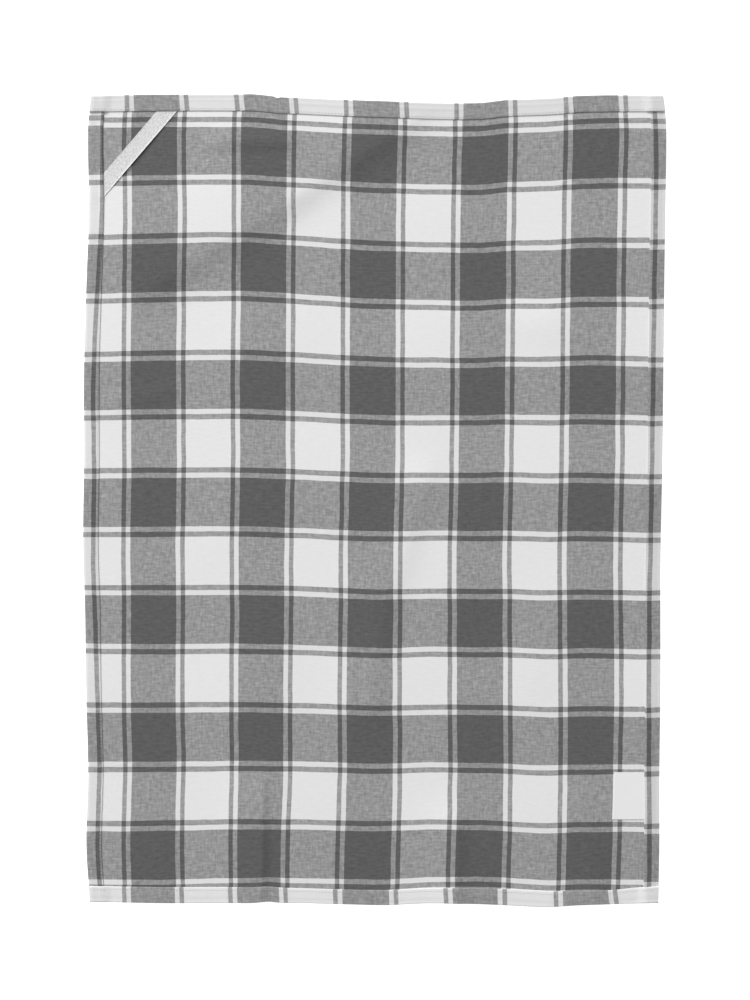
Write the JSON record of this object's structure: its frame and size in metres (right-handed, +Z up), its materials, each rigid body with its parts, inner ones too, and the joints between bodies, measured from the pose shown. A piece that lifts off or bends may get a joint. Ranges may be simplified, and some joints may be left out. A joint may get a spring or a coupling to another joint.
{
  "type": "tea towel",
  "caption": "Rectangular woven cotton tea towel in a grey and white check, laid flat, with turned hems, a hanging tape across one corner and a small bare label at a side hem.",
  "frame": {"origin": "middle of the towel's outline, on the surface that it lies on", "axes": "+X across the towel to the side with the label, +Y along its length to the end with the hanging tape, +Z up out of the hemmed face"},
  "size_m": [0.5063, 0.706, 0.0079],
  "materials": {
    "check_cotton": "plain-woven cotton in dark grey and white yarn, matt",
    "tape_cotton": "white twill-woven cotton tape, matt",
    "label_satin": "white satin-woven label, bare, slight sheen"
  },
  "bodies": {
    "root": {"towel_cloth": "check_cotton", "hanging_tape": "tape_cotton", "label": "label_satin"}
  },
  "joints": []
}
